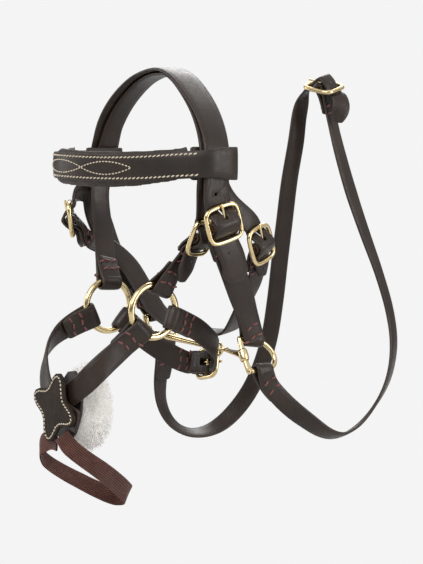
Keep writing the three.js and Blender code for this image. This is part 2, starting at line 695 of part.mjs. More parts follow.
// One arm of the bit: a sleeve on the dee's bar, a tapered arm, and a ring at the middle. The near
// ring lies flat and the far one stands, so the two are linked.
function bitArm({ bar, side, down }) {
  const eyeCentre = vec(BIT_JOINT.x + (side * BIT.eye) / 2, BIT_JOINT.y, BIT_JOINT.z);
  const direction = eyeCentre.clone().sub(bar).normalize();
  const bore = DEE.wire + BIT.clearance;
  const sleeveTurn = new THREE.Quaternion().setFromUnitVectors(vec(0, 1, 0), down);
  const sleeve = (radius, length) =>
    new THREE.CylinderGeometry(radius, radius, length, 14)
      .applyQuaternion(sleeveTurn)
      .translate(...bar.toArray());
  const up = vec(0, 0, 1);
  const station = (p, radius) => ({ p, n: up, size: [radius, radius] });
  const root = along(eyeCentre, [vec(side, 0, 0), BIT.eye + 0.3]);
  const arm = sweep(
    [
      station(along(bar, [direction, bore + 0.6]), BIT.thick),
      station(along(bar, [direction, 9]), BIT.thick),
      station(along(bar, [direction, 18]), BIT.thick * 0.8),
      station(along(bar, [direction, 30]), BIT.thin),
      station(along(root, [direction, -3]), BIT.thin),
      station(root, BIT.thin * 0.85),
    ],
    round(1, 10),
  );
  const eye = new THREE.TorusGeometry(BIT.eye, BIT.eyeWire, 7, 16);
  if (side < 0) eye.rotateX(Math.PI / 2);
  eye.translate(...eyeCentre.toArray());
  return cut(join(arm, sleeve(bore + BIT.wall, BIT.sleeve), eye), [sleeve(bore, BIT.sleeve + 4)]);
}

// ---------------------------------------------------------------- reins
function reinNear() {
  return strap(
    REIN,
    [
      [47, 28.6, -151, 0.99, -0.1, 0],
      [47.9, 34, -157.4, 0.95, -0.2, -0.2],
      [49.3, 41, -164, 0.88, -0.2, -0.4],
      [50, 50, -170.5, 0.72, -0.25, -0.62],
      [50.8, 61, -177.5, 0.5, -0.15, -0.85],
      [50.5, 70, -179.8, 0.36, 0, -0.93],
      [49.5, 82, -176.5, 0.42, 0.35, -0.84],
      [47.5, 96, -166.8, 0.6, 0.55, -0.58],
      [44.5, 108, -153, 0.78, 0.55, -0.25],
      [40, 115, -136.6, 0.86, 0.48, 0],
      [35, 116.5, -120, 0.85, 0.45, 0.2],
      [29, 114, -100, 0.85, 0.42, 0.25],
      [23, 109.3, -79.4, 0.88, 0.3, 0.3],
      [17, 105, -58.5, 0.9, 0.2, 0.3],
      [11, 102.2, -38, 0.92, 0.25, 0.3],
      [6.2, 101.6, -24, 0.9, 0.32, 0.2],
      [2.8, 101.2, -12, 0.94, 0.29, 0],
    ],
    {
      start: (from) => reinFold(deeNear, from),
      end: (from) => {
        const side = vec(0.94, 0.29, 0);
        return foldRound(reinBuckle.centre, reinBuckle.x, from, side, BUCKLE.bar + 0.35, { length: 13 });
      },
      tools: [reinSlot()],
    },
  );
}

// Room for the tongue in the rein's fold, which hangs square to the buckle.
function reinSlot() {
  const turn = new THREE.Quaternion().setFromRotationMatrix(
    frameMatrix(vec(0, 0, 0), reinBuckle.x, reinBuckle.y, reinBuckle.z),
  );
  return new THREE.BoxGeometry(3.4, 9, 7.4).applyQuaternion(turn).translate(...reinBuckle.centre.toArray());
}

function reinFar() {
  return strap(
    REIN,
    [
      [-41.5, 24.5, -147, -0.98, 0.1, 0.1],
      [-43.2, 23.6, -157, -0.95, -0.2, 0],
      [-44.6, 25.2, -170, -0.88, -0.4, -0.15],
      [-45, 30.2, -179.3, -0.75, -0.4, -0.5],
      [-45, 38, -185.7, -0.5, -0.3, -0.8],
      [-44.5, 47, -188.4, -0.35, 0, -0.94],
      [-44, 57, -187.3, -0.42, 0.2, -0.88],
      [-43, 67, -182.2, -0.62, 0.35, -0.7],
      [-41, 77.5, -171.5, -0.8, 0.4, -0.4],
      [-38.5, 84.5, -158.5, -0.88, 0.38, -0.1],
      [-34, 88.8, -139.2, -0.9, 0.35, 0.15],
      [-29.5, 89.8, -117, -0.9, 0.3, 0.2],
      [-25, 89.4, -94.8, -0.9, 0.3, 0.2],
      [-20, 88.8, -73, -0.9, 0.25, 0.25],
      [-15.5, 88.6, -51.3, -0.88, 0.2, 0.35],
      [-13, 91, -31, -0.88, 0.2, 0.35],
      [-13.4, 94.4, -13, -0.93, 0.05, 0.25],
      ...reinBuckle.billet(6),
      [11.7, 102.6, -11.2, 0.86, -0.2, 0.42],
      [11.8, 101, -16.2, 0.84, -0.45, 0.25],
      [11.6, 100.4, -21, 0.82, -0.5, 0.2],
    ],
    { start: (from) => reinFold(deeFar, from), tip: 5, tools: reinBuckle.billetSlots },
  );
}

// ---------------------------------------------------------------- assembly
add("crown_strap", crownStrap(), leather);
add("noseband_headstrap", nosebandHeadstrap(), leather);
add("noseband_cheek_near", nosebandCheekNear(), leather);
add("cheek_strap_near", cheekStrapNear(), leather);
add("throatlash", throatlash(), leather);
add("browband_strip", browbandStrip(), leather);
add("browband_pad", browbandPad(), lining);
for (const [name, side] of [["ring_near", 1], ["ring_far", -1]]) {
  add(name, oRing(), brass, new THREE.Matrix4().makeTranslation(side * O_RING.x, O_RING.y, O_RING.z));
}
add("nose_strap_near", noseStrap(1), leather);
add("nose_strap_far", noseStrap(-1), leather);
const patchX = patchUp.clone().cross(patchOut);
const patchFrame = (outward) =>
  frameMatrix(along(patchCentre, [patchOut, outward]), patchX, patchOut.clone().cross(patchX), patchOut);
add("cross_patch", slab(patchOutline(17.4, 10.5, 1.15), 1.8), leather, patchFrame(0));
add("cross_backing", slab(ovalShape(12, 18.8), 1.6), lining, patchFrame(-8.2));
add("fleece_pad", fleecePad(), fleece, patchFrame(-17.2));
add("elastic_chin_loop", elasticLoop(), webbing);
add("jaw_strap_near", jawStrapNear(), leather);
add("jaw_strap_far", jawStrapFar(), leather);
addBuckle("cheek", cheekBuckle);
addBuckle("throat_near", throatNearBuckle);
addBuckle("throat_far", throatFarBuckle);
addBuckle("noseband", noseBuckle);
addBuckle("jaw", jawBuckle);
addBuckle("rein", reinBuckle);
for (const [name, dee] of [["near", deeNear], ["far", deeFar]]) {
  const place = frameMatrix(dee.bar, dee.rear, dee.down, dee.rear.clone().cross(dee.down));
  add(`bit_ring_${name}`, deeRing(), brass, place);
  add(`bit_arm_${name}`, bitArm(dee), brass);
}
add("rein_near", reinNear(), leather);
add("rein_far", reinFar(), leather);

group.position.z = -REST;
export default group;
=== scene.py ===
"""Looks of a small leather bridle: straps, padded browband, crossed nose piece, brass fittings and reins.

Each CAD solid is replaced by a piece made from it: straps with rounded edges, sewn folds, a padded
browband, a deep-pile fleece and a ribbed elastic loop. The scene is in metres; a size that is named in
millimetres is multiplied by MM where it is used.
"""
import json
import math
import random

import bmesh
import bpy
import numpy as np
from mathutils import Matrix, Quaternion, Vector, noise
from mathutils.bvhtree import BVHTree
from mathutils.kdtree import KDTree

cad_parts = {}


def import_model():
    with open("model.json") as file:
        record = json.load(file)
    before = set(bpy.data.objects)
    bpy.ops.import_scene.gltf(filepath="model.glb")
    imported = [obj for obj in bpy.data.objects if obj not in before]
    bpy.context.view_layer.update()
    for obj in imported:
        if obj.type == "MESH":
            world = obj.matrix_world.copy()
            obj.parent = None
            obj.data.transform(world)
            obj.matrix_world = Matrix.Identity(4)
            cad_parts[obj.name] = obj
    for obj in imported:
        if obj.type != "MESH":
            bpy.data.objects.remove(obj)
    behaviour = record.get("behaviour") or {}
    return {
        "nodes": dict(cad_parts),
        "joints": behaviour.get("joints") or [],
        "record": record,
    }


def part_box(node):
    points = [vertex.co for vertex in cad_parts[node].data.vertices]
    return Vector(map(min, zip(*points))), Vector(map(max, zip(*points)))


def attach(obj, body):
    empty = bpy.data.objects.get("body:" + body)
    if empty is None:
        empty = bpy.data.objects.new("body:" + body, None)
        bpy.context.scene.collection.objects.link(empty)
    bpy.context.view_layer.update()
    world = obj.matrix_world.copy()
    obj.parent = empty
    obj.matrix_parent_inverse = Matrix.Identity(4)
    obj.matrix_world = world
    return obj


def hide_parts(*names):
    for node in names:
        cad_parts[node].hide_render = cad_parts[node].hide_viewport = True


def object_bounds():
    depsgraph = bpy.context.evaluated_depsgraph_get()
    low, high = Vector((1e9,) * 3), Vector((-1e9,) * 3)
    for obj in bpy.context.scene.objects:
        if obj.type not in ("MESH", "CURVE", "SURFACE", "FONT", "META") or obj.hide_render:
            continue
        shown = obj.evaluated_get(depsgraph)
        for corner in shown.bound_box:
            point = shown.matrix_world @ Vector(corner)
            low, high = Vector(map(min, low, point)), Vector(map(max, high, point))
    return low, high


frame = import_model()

MM = 0.001
SEED = 11
CAD_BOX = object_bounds()
BODY_OF = {n: b for b, nodes in frame["record"]["behaviour"]["bodies"].items() for n in nodes}
JOINTS = {j["name"]: j for j in frame["joints"]}

# Sizes of details, in millimetres
STRAP_EDGE = 45  # degrees between faces above which an edge of a strap is a corner
CREASE_LINE = 1.5  # the creased line runs this far inside the edge of a strap
SEAM_INSET = 1.5  # browband seam inside the edge of its strip
SEAM_PITCH = 2.3
THREAD = 0.34
HAND_STITCH = 3.3
HAND_THREAD = 0.5
PATCH_SEAM_INSET = 1.6
PATCH_PITCH = 2.0
SLANT = 0.35  # how far, in radians, machine stitches lean from the line of their seam
RIBS = 9
TUFTS = 9000
TUFT_LENGTH = 2.8
TUFT_SIZES = (0.3, 0.24, 0.15, 0.04)  # radius of a tuft from its root to its tip
CORE_SHARE = (0.86, 0.84, 0.86)  # the fleece's core, as a share of the CAD solid's half size
WEB_HALF = 0.34  # half the elastic's thickness in its grooves
WEB_RIB = 0.2
RING_ROWS = (4.8, 10.2)  # rows of hand stitches, from the wire that a strap is folded round
CHAPE_ROWS = (11, 14.5)
DEE_ROWS = (5, 10.5)
REIN_ROWS = (6, 11.5)
SLOT_HALF = 1.1  # an edge is in a tongue's slot when it lies this near the tongue's plane
SLOT_REACH = 12  # and this near its hinge
FOLD_NEAR = 7  # a sewn fold's direction is taken from its points between these two distances
FOLD_FAR = 17  # from the wire it is folded round
RING_WIRE = 1.6  # radius of the two rings' wire
RING_STEPS = 96
RING_SIDES = 20
STRIP_HALF = 6.5  # half the browband strip's width
LOOP_HEIGHT = 3.1  # half the height of the pointed loops stitched on the browband
LOOP_STEPS = 30  # and their length, in stations of the strip
LOOP_MIDDLE = -2  # across the head, where the two loops meet
HOLE = 0.8  # radius of a punched hole
PAD_ABOVE = 9.0  # the pad's edges, from the strip's centre line
PAD_BELOW = 10.6
PAD_BELOW_ENDS = 6.3
PAD_STEP = 1.2
PAD_EXTRA = 6  # steps that the pad runs on past its CAD solid at each end, behind the strip
PAD_SWELL = 1.75
PAD_VOXEL = 0.7
PAD_GIVE = 0.9  # the furthest that the cloth simulation may move a point of the pad
SIM_SCALE = 10  # the pad is simulated ten times larger, where cloth behaves well
SIM_FRAMES = 20
REIN_SPAN = 85.7  # from one rein's fold to the other's, along the axis they swing on

# Shares of a stitch's length along it, and of the thread's radius above the leather and across
STITCH_PROFILE = (
    (-0.5, -0.3, 0.55),
    (-0.36, 0.35, 0.95),
    (0, 0.62, 1.05),
    (0.36, 0.35, 0.95),
    (0.5, -0.3, 0.55),
)

WIRE_RADIUS = {"buckle_frame": 1.15, "buckle_tongue": 0.65, "bit_ring": 1.25, "bit_arm": 0.8}
WIRE_SWELL = 0.12  # a share of the wire's radius

VIEW_TARGET = (18.3, 13.8, -102.95)
VIEW_AZIMUTH = 55  # degrees round from the front towards the near side
VIEW_ELEVATION = 4
VIEW_DISTANCE = 900
VIEW_LENS = 114.9
BACKGROUND = 0.905  # brightness of the backdrop, as the camera sees it


# ---------------------------------------------------------------- small tools
def new_object(name, mesh, material):
    """Links a mesh into the scene with one material and smooth shading."""
    mesh.materials.clear()
    mesh.materials.append(material)
    mesh.shade_smooth()
    thing = bpy.data.objects.new(name, mesh)
    bpy.context.scene.collection.objects.link(thing)
    return thing


def mesh_from(name, points, faces):
    """A new mesh from points and faces."""
    mesh = bpy.data.meshes.new(name)
    mesh.from_pydata([tuple(p) for p in points], [], faces)
    mesh.validate()
    return mesh


def place(piece, node, replaces=True):
    """A piece rides with the node's body and, when it replaces the node, hides it."""
    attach(piece, BODY_OF[node])
    if replaces:
        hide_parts(node)
    return piece


def applied(thing):
    """The object's mesh with its modifiers applied."""
    graph = bpy.context.evaluated_depsgraph_get()
    mesh = bpy.data.meshes.new_from_object(thing.evaluated_get(graph))
    thing.modifiers.clear()
    thing.data = mesh
    return thing


def quad_mesh(node, face_angle=0.9, shape=1.9):
    """The CAD solid with its triangles joined into four-sided faces."""
    body = bmesh.new()
    body.from_mesh(frame["nodes"][node].data)
    bmesh.ops.remove_doubles(body, verts=body.verts, dist=0.002 * MM)
    bmesh.ops.join_triangles(
        body, faces=body.faces, angle_face_threshold=face_angle, angle_shape_threshold=shape
    )
    return body


def tube(rings, sides=6):
    """A closed tube through (centre, side direction, up direction, radius) rings."""
    points = []
    for centre, side, up, radius in rings:
        for i in range(sides):
            angle = 2 * math.pi * i / sides
            points.append(centre + side * (radius * math.cos(angle)) + up * (radius * math.sin(angle)))
    faces = []
    for k in range(len(rings) - 1):
        for i in range(sides):
            j = (i + 1) % sides
            a = k * sides
            faces.append((a + i, a + j, a + sides + j, a + sides + i))
    faces.append(tuple(reversed(range(sides))))
    last = (len(rings) - 1) * sides
    faces.append(tuple(last + i for i in range(sides)))
    return points, faces


def merge(parts):
    """Several (points, faces) lists as one."""
    points = []
    faces = []
    for p, f in parts:
        base = len(points)
        points.extend(p)
        faces.extend(tuple(base + i for i in face) for face in f)
    return points, faces


# ---------------------------------------------------------------- materials
class Shader:
    """Builds one node material with short calls."""

    def __init__(self, name):
        self.material = bpy.data.materials.new(name)
        self.material.use_nodes = True
        self.tree = self.material.node_tree
        self.surface = self.tree.nodes["Principled BSDF"]
        self.position = self.add("ShaderNodeTexCoord").outputs["Object"]

    def add(self, kind, inputs=None, **settings):
        made = self.tree.nodes.new(kind)
        for key, value in settings.items():
            setattr(made, key, value)
        for key, value in (inputs or {}).items():
            self.put(made.inputs[key], value)
        return made

    def put(self, socket, value):
        if isinstance(value, bpy.types.NodeSocket):
            self.tree.links.new(value, socket)
        else:
            socket.default_value = value

    def set(self, **values):
        for key, value in values.items():
            self.put(self.surface.inputs[key.replace("_", " ")], value)

    def noise(self, scale, detail=4.0, roughness=0.55):
        inputs = {"Vector": self.position, "Scale": scale, "Detail": detail, "Roughness": roughness}
        return self.add("ShaderNodeTexNoise", inputs).outputs["Fac"]

    def cells(self, scale):
        inputs = {"Vector": self.position, "Scale": scale}
        return self.add("ShaderNodeTexVoronoi", inputs).outputs["Distance"]

    def math(self, operation, a, b=0.0, clamp=False):
        return self.add("ShaderNodeMath", {0: a, 1: b}, operation=operation, use_clamp=clamp).outputs[0]

    def span(self, value, low, high, to_low=0.0, to_high=1.0):
        inputs = {"Value": value, "From Min": low, "From Max": high}
        inputs.update({"To Min": to_low, "To Max": to_high})
        return self.add("ShaderNodeMapRange", inputs).outputs["Result"]

    def mix(self, share, a, b):
        """Colour a where the share is 0, colour b where it is 1."""
        made = self.add("ShaderNodeMix", data_type="RGBA")
        for key, kind, value in (("Factor", "VALUE", share), ("A", "RGBA", a), ("B", "RGBA", b)):
            self.put(next(s for s in made.inputs if s.name == key and s.type == kind), value)
        return next(s for s in made.outputs if s.type == "RGBA")

    def attribute(self, name):
        return self.add("ShaderNodeAttribute", attribute_name=name).outputs["Fac"]

    def bump(self, height, strength, distance):
        made = self.add("ShaderNodeBump", {"Height": height, "Strength": strength, "Distance": distance})
        self.put(self.surface.inputs["Normal"], made.outputs["Normal"])


def colour(red, green, blue):
    """A screen colour, 0 to 255, as linear light."""
    values = []
    for c in (red, green, blue):
        values.append(((c / 255 + 0.055) / 1.055) ** 2.4 if c > 10 else c / 3295)
    return (*values, 1)


def leather_material(name, dark, light, rough, grain, creased, shine=0.4):
    """Waxed leather: fine pores, soft wrinkles, a creased line near each edge, rubbed corners with a painted
    highlight along each edge.
    """
    s = Shader(name)
    pores = s.cells(1500)
    wrinkles = s.noise(420, 6, 0.6)
    cloud = s.noise(60, 3, 0.5)
    edge = s.attribute("edge_mm")
    # Lighter colour along the edges: partly rubbed wear, partly a painted highlight where light catches the
    # edges.
    rubbed_wear_and_highlight = s.math("MULTIPLY", s.span(edge, 0.75, 0.05), s.span(s.noise(260, 3), 0.35, 0.7))
    tone = s.mix(s.span(cloud, 0.35, 0.7), dark, light)
    tone = s.mix(s.math("MULTIPLY", rubbed_wear_and_highlight, 0.35, True), tone, colour(80, 62, 50))
    line = s.math("ABSOLUTE", s.math("SUBTRACT", edge, CREASE_LINE))
    groove = s.span(line, 0.0, 0.32, 1.0, 0.0)
    if not creased:
        groove = s.math("MULTIPLY", groove, 0.0)
    tone = s.mix(s.math("MULTIPLY", groove, 0.45, True), tone, colour(12, 9, 8))
    height = s.math("ADD", s.math("MULTIPLY", pores, 0.25), s.math("MULTIPLY", wrinkles, 0.5))
    height = s.math("SUBTRACT", height, s.math("MULTIPLY", groove, 1.1))
    s.set(Base_Color=tone, Roughness=s.span(wrinkles, 0.3, 0.7, rough - 0.07, rough + 0.1))
    s.set(Coat_Weight=shine / 4, Coat_Roughness=0.3, Specular_IOR_Level=shine)
    s.bump(height, grain, 0.25 * MM)
    return s.material


def brass_material():
    """Polished brass with hair scratches and a little tarnish in patches."""
    s = Shader("polished_brass")
    scratches = s.noise(2600, 2, 0.4)
    tarnish = s.span(s.noise(180, 5, 0.6), 0.5, 0.72)
    share = s.math("MULTIPLY", tarnish, 0.5, True)
    s.set(Base_Color=s.mix(share, colour(236, 214, 164), colour(196, 160, 98)))
    s.set(Metallic=1.0, Roughness=s.span(tarnish, 0, 1, 0.13, 0.3))
    s.bump(scratches, 0.06, 0.05 * MM)
    return s.material


def thread_material(name, light, dark):
    """Waxed thread, with its twist as a fine ripple."""
    s = Shader(name)
    twist = s.noise(3200, 2, 0.5)
    s.set(Base_Color=s.mix(s.span(twist, 0.3, 0.7), dark, light), Roughness=0.62, Sheen_Weight=0.3)
    s.bump(twist, 0.5, 0.1 * MM)
    return s.material


def webbing_material():
    """Knitted elastic: a fine weave across the ribs, with painted shade darkening the grooves between them.
    """
    s = Shader("ribbed_elastic")
    weave = s.noise(1900, 4, 0.7)
    fuzz = s.noise(240, 3, 0.5)
    tone = s.mix(s.span(fuzz, 0.3, 0.7), colour(92, 58, 50), colour(110, 73, 64))
    # Painted shade: the grooves between the ribs are coloured dark.
    tone = s.mix(s.span(s.attribute("rib"), 0.75, 0.1), tone, colour(30, 15, 13))
    s.set(Base_Color=tone, Roughness=0.88, Sheen_Weight=0.35, Sheen_Roughness=0.4, Specular_IOR_Level=0.25)
    s.bump(weave, 0.7, 0.15 * MM)
    return s.material


def fleece_material():
    """White fleece; a little light of its own stands for what passes through the pile."""
    s = Shader("deep_fleece")
    clumps = s.span(s.noise(170, 4, 0.6), 0.3, 0.75)
    tone = s.mix(clumps, colour(253, 250, 246), colour(244, 240, 235))
    s.set(Base_Color=tone, Roughness=0.95, Sheen_Weight=0.8, Sheen_Roughness=0.5, Specular_IOR_Level=0.15)
    s.set(Emission_Color=(1, 0.99, 0.97, 1), Emission_Strength=0.16)
    s.bump(s.noise(1500, 4, 0.7), 0.4, 0.2 * MM)
    return s.material


LEATHER = leather_material("dark_leather", colour(37, 26, 19), colour(50, 37, 28), 0.4, 0.35, True)
PLAIN = leather_material("dark_leather_plain", colour(34, 25, 19), colour(46, 35, 27), 0.46, 0.3, False)
SOFT = leather_material("soft_leather", colour(32, 24, 19), colour(44, 34, 28), 0.5, 0.6, False)
MATT = leather_material("patch_leather", colour(32, 25, 20), colour(44, 35, 28), 0.62, 0.6, False, 0.14)
BRASS = brass_material()
CREAM = thread_material("cream_thread", colour(232, 220, 198), colour(190, 172, 142))
RED = thread_material("burgundy_thread", colour(140, 74, 68), colour(92, 44, 42))
# Painted shade: dark discs stand for the shaded inside of punched holes.
PAINTED_HOLE_SHADE = thread_material("painted_hole_shade", colour(8, 6, 5), colour(5, 4, 4))
WEBBING = webbing_material()
FLEECE = fleece_material()


# ---------------------------------------------------------------- straps
def joint_place(name):
    """A joint's point and its axis."""
    return Vector(JOINTS[name]["pos_m"]), Vector(JOINTS[name]["axis"]).normalized()


def edge_distance(mesh, corner_points):
    """Stores on each point how far it is, in millimetres, from the nearest corner edge."""
    tree = KDTree(len(corner_points))
    for i, p in enumerate(corner_points):
        tree.insert(p, i)
    tree.balance()
    values = [tree.find(v.co)[2] / MM for v in mesh.vertices]
    attribute = mesh.attributes.new("edge_mm", "FLOAT", "POINT")
    attribute.data.foreach_set("value", values)


def in_slot(edge, slots):
    """Whether an edge belongs to the narrow slot a buckle's tongue passes through."""
    for at, axis in slots:
        offsets = [v.co - at for v in edge.verts]
        if all(abs(o.dot(axis)) < SLOT_HALF * MM and o.length < SLOT_REACH * MM for o in offsets):
            return True
    return False


def strap_piece(node, material, crease=0.42, swell=0.1 * MM):
    """A strap with softly rounded edges, made from its CAD solid."""
    body = quad_mesh(node)
    slots = [joint_place(name) for name in JOINTS if name.endswith("tongue_pivot")]
    sharp = math.radians(STRAP_EDGE)
    layer = body.edges.layers.float.get("crease_edge") or body.edges.layers.float.new("crease_edge")
    corners = []
    for edge in body.edges:
        if len(edge.link_faces) == 2 and edge.calc_face_angle(0) > sharp:
            edge[layer] = 1.0 if in_slot(edge, slots) else crease
            a, b = (v.co.copy() for v in edge.verts)
            count = max(1, round((b - a).length / (0.4 * MM)))
            corners.extend(a.lerp(b, i / count) for i in range(count + 1))
    mesh = bpy.data.meshes.new(node + "_looks")
    body.to_mesh(mesh)
    body.free()
    piece = new_object(node + "_looks", mesh, material)
    rounding = piece.modifiers.new("rounding", "SUBSURF")
    rounding.levels = 2
    rounding.render_levels = 2
    applied(piece)
    edge_distance(piece.data, corners)
    crown(piece, swell)
    return place(piece, node)


def crown(piece, amount):
    """Raises the middle of a strap's faces a little, so that it isn't dead flat."""
    depth = piece.data.attributes["edge_mm"].data
    shifts = [v.normal * (amount * min(1.0, depth[v.index].value / 3.5) ** 2) for v in piece.data.vertices]
    for v, shift in zip(piece.data.vertices, shifts):
        v.co += shift


def surface_of(piece):
    """A tree for casting rays at a piece."""
    graph = bpy.context.evaluated_depsgraph_get()
    return BVHTree.FromObject(piece, graph)


def rails(node):
    """The centre line, side direction and outward direction along a plain swept strap."""
    body = quad_mesh(node, 1.6, 3.0)
    cap = next(f for f in body.faces if all(len(v.link_edges) == 3 for v in f.verts))
    lines = []
    for start in cap.verts:
        v = start
        edge = next(e for e in v.link_edges if e not in cap.edges[:])
        line = [v.co.copy()]
        while True:
            v = edge.other_vert(v)
            line.append(v.co.copy())
            if len(v.link_edges) == 3:
                break
            beside = set(edge.link_faces)
            edge = next(e for e in v.link_edges if e is not edge and not beside & set(e.link_faces))
        lines.append(line)
    body.free()
    if (lines[0][0] - lines[1][0]).length > (lines[1][0] - lines[2][0]).length:
        lines = lines[1:] + lines[:1]
    stations = []
    for a, b, c, d in zip(*lines):
        centre = (a + b + c + d) / 4
        side = (a + b - c - d).normalized()
        out = (a + d - b - c).normalized()
        stations.append((centre, side, out, (a + b - c - d).length / 4))
    return stations


def smooth_stations(stations, step):
    """The same stations at an even spacing, on a smooth curve."""
    centres = np.array([s[0] for s in stations])
    extra = np.array([[*s[1], *s[2], s[3]] for s in stations])
    lengths = np.concatenate([[0], np.cumsum(np.linalg.norm(np.diff(centres, axis=0), axis=1))])
    count = max(2, int(lengths[-1] / step))
    wanted = np.linspace(0, lengths[-1], count)
    values = np.hstack([centres, extra])
    slopes = np.gradient(values, lengths, axis=0)
    made = []
    for s in wanted:
        i = min(len(lengths) - 2, max(0, np.searchsorted(lengths, s) - 1))
        h = lengths[i + 1] - lengths[i]
        t = (s - lengths[i]) / h
        low = (2 * t**3 - 3 * t**2 + 1) * values[i] + (t**3 - 2 * t**2 + t) * h * slopes[i]
        high = (3 * t**2 - 2 * t**3) * values[i + 1] + (t**3 - t**2) * h * slopes[i + 1]
        row = low + high
        made.append((Vector(row[0:3]), Vector(row[3:6]).normalized(), Vector(row[6:9]).normalized(), row[9]))
    return made


# ---------------------------------------------------------------- stitches
def stitch(centre, run, out, length, thickness):
    """One stitch: thread that rises from the leather, lies on it and dips back in."""
    side = run.cross(out).normalized()
    rings = []
    for share, height, size in STITCH_PROFILE:
        at = centre + run * (share * length) + out * (height * thickness)
        rings.append((at, side, out, size * thickness))
    return tube(rings)


def seam(name, path, pitch, thickness, fill, material, node, slant=0.0):
    """A row of stitches along a path of (point, outward direction), each turned by the slant."""
    points = [p for p, _ in path]
    lengths = [0.0]
    for a, b in zip(points, points[1:]):
        lengths.append(lengths[-1] + (b - a).length)
    count = max(1, round(lengths[-1] / pitch))
    parts = []
    for k in range(count):
        middle = (k + 0.5) / count * lengths[-1]
        i = min(len(points) - 2, max(0, int(np.searchsorted(lengths, middle)) - 1))
        t = (middle - lengths[i]) / max(1e-9, lengths[i + 1] - lengths[i])
        centre = points[i].lerp(points[i + 1], t)
        run = (points[i + 1] - points[i]).normalized()
        out = path[i][1].lerp(path[i + 1][1], t).normalized()
        run = Quaternion(out, slant) @ run
        parts.append(stitch(centre, run, out, lengths[-1] / count * fill, thickness))
    piece = new_object(name, mesh_from(name, *merge(parts)), material)
    place(piece, node, replaces=False)
    return piece


def cast(tree, point, out, reach=9 * MM):
    """The leather's surface under a point, seen along the outward direction."""
    found, normal, _, _ = tree.ray_cast(point + out * reach, -out, 2 * reach)
    if found is None:
        return None
    return found, normal


def cross_rows(name, node, tree, wire, along, across, out, distances, width):
    """Rows of hand stitches across a sewn fold, at these distances in millimetres from its wire."""
    parts = []
    for k, distance in enumerate(distances):
        count = max(2, int((width - 1.2 * MM) / (HAND_STITCH * MM)))
        for i in range(count):
            share = (i + 0.5) / count - 0.5
            wobble = 0.25 if (i + k) % 2 else -0.2
            point = wire + along * ((distance + wobble) * MM) + across * (share * (width - 0.6 * MM))
            hit = cast(tree, point, out)
            if hit is None:
                continue
            run = (across + along * (0.3 if i % 2 else -0.3)).normalized()
            run = (run - hit[1] * run.dot(hit[1])).normalized()
            parts.append(stitch(hit[0], run, hit[1], HAND_STITCH * MM * 0.86, HAND_THREAD * MM))
    if not parts:
        return None
    piece = new_object(name, mesh_from(name, *merge(parts)), RED)
    return place(piece, node, replaces=False)


# ---------------------------------------------------------------- the straps themselves
STRAPS = [
    "crown_strap", "noseband_headstrap", "noseband_cheek_near", "cheek_strap_near", "throatlash",
    "nose_strap_near", "nose_strap_far", "jaw_strap_near", "jaw_strap_far", "rein_near", "rein_far",
]
pieces = {node: strap_piece(node, LEATHER) for node in STRAPS}
pieces["browband_strip"] = strap_piece("browband_strip", PLAIN, crease=0.5, swell=0.4 * MM)


def sewn_fold(label, node, wire, rows):
    """Hand stitches on both faces of a strap that is folded round a wire."""
    offsets = [v.co - wire for v in frame["nodes"][node].data.vertices]
    beyond = [o for o in offsets if FOLD_NEAR * MM < o.length < FOLD_FAR * MM]
    along = (sum(beyond, Vector()) / len(beyond)).normalized()
    flat = np.array([o - along * o.dot(along) for o in beyond])
    flat = flat - flat.mean(axis=0)
    across = Vector(np.linalg.svd(flat, full_matrices=False)[2][0]).normalized()
    out = across.cross(along).normalized()
    width = float(np.ptp(flat @ np.array(across)))
    tree = surface_of(pieces[node])
    for face, facing in (("a", out), ("b", -out)):
        cross_rows(f"{node}_{label}_stitches_{face}", node, tree, wire, along, across, facing, rows, width)


def ring_fold(node, side):
    """The fold of a strap round one of the two round rings."""
    centre, axis = joint_place("ring_turn_" + side)
    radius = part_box("ring_" + side)[1].z - centre.z - RING_WIRE * MM
    offsets = [v.co - centre for v in frame["nodes"][node].data.vertices]
    cluster = [o for o in offsets if o.length < radius + 6 * MM]
    middle = sum(cluster, Vector()) / len(cluster)
    middle -= axis * middle.dot(axis)
    sewn_fold("ring", node, centre + middle.normalized() * radius, RING_ROWS)


def lowest_point(node, side):
    """The lowest part of a strap on one side of the bridle."""
    points = [v.co for v in frame["nodes"][node].data.vertices if v.co.x * side > 0]
    low = min(p.z for p in points)
    chosen = [p for p in points if p.z < low + 3 * MM]
    return sum(chosen, Vector()) / len(chosen)


for node, side in (
    ("noseband_headstrap", "far"), ("noseband_cheek_near", "near"), ("nose_strap_near", "near"),
    ("nose_strap_far", "far"), ("jaw_strap_near", "near"), ("jaw_strap_far", "far"),
):
    ring_fold(node, side)
for node, buckle in (
    ("cheek_strap_near", "cheek"), ("throatlash", "throat_near"), ("throatlash", "throat_far"),
    ("noseband_cheek_near", "noseband"), ("jaw_strap_far", "jaw"), ("rein_near", "rein"),
):
    sewn_fold(buckle + "_chape", node, joint_place(buckle + "_tongue_pivot")[0], CHAPE_ROWS)
sewn_fold("dee", "cheek_strap_near", lowest_point("cheek_strap_near", 1), DEE_ROWS)
sewn_fold("dee", "crown_strap", lowest_point("crown_strap", -1), DEE_ROWS)
REIN_JOINT = joint_place("reins_swing")
for node, sign in (("rein_near", 1), ("rein_far", -1)):
    sewn_fold("dee", node, REIN_JOINT[0] + REIN_JOINT[1] * (sign * REIN_SPAN / 2 * MM), REIN_ROWS)


